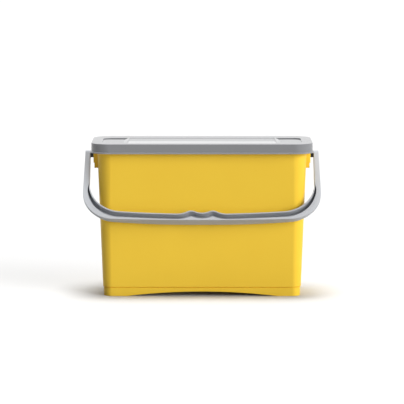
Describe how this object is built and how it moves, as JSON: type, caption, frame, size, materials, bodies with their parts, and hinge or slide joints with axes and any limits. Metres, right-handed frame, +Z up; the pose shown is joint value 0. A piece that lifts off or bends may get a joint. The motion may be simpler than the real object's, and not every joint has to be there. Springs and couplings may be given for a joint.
{
  "type": "bucket with lid",
  "caption": "Rectangular moulded bucket with a lift-off lid and a swinging bail that pivots on snap pins at its ends and rests against its front.",
  "frame": {"origin": "on the floor, in the middle of the foot", "axes": "+X along the long side towards the right ear, -Y towards the front where the bail rests, +Z up"},
  "size_m": [0.432, 0.1748, 0.28],
  "materials": {
    "bucket": "satin yellow polypropylene",
    "lid": "satin grey polypropylene",
    "bail": "satin lighter grey polypropylene",
    "pins": "satin dark grey acetal"
  },
  "bodies": {
    "bucket": {"bucket": "bucket"},
    "lid": {"lid": "lid"},
    "bail": {"bail": "bail", "pivot_pin_right": "pins", "pivot_pin_left": "pins"}
  },
  "joints": [
    {"name": "bail_swing", "type": "hinge", "parent": "bucket", "child": "bail", "pos_m": [0, 0, 0.2522], "axis": [-1, 0, 0], "range_deg": [0, 285.6]},
    {"name": "lid_lift", "type": "slide", "parent": "bucket", "child": "lid", "axis": [0, 0, 1], "range_m": [0, 0.2]}
  ]
}
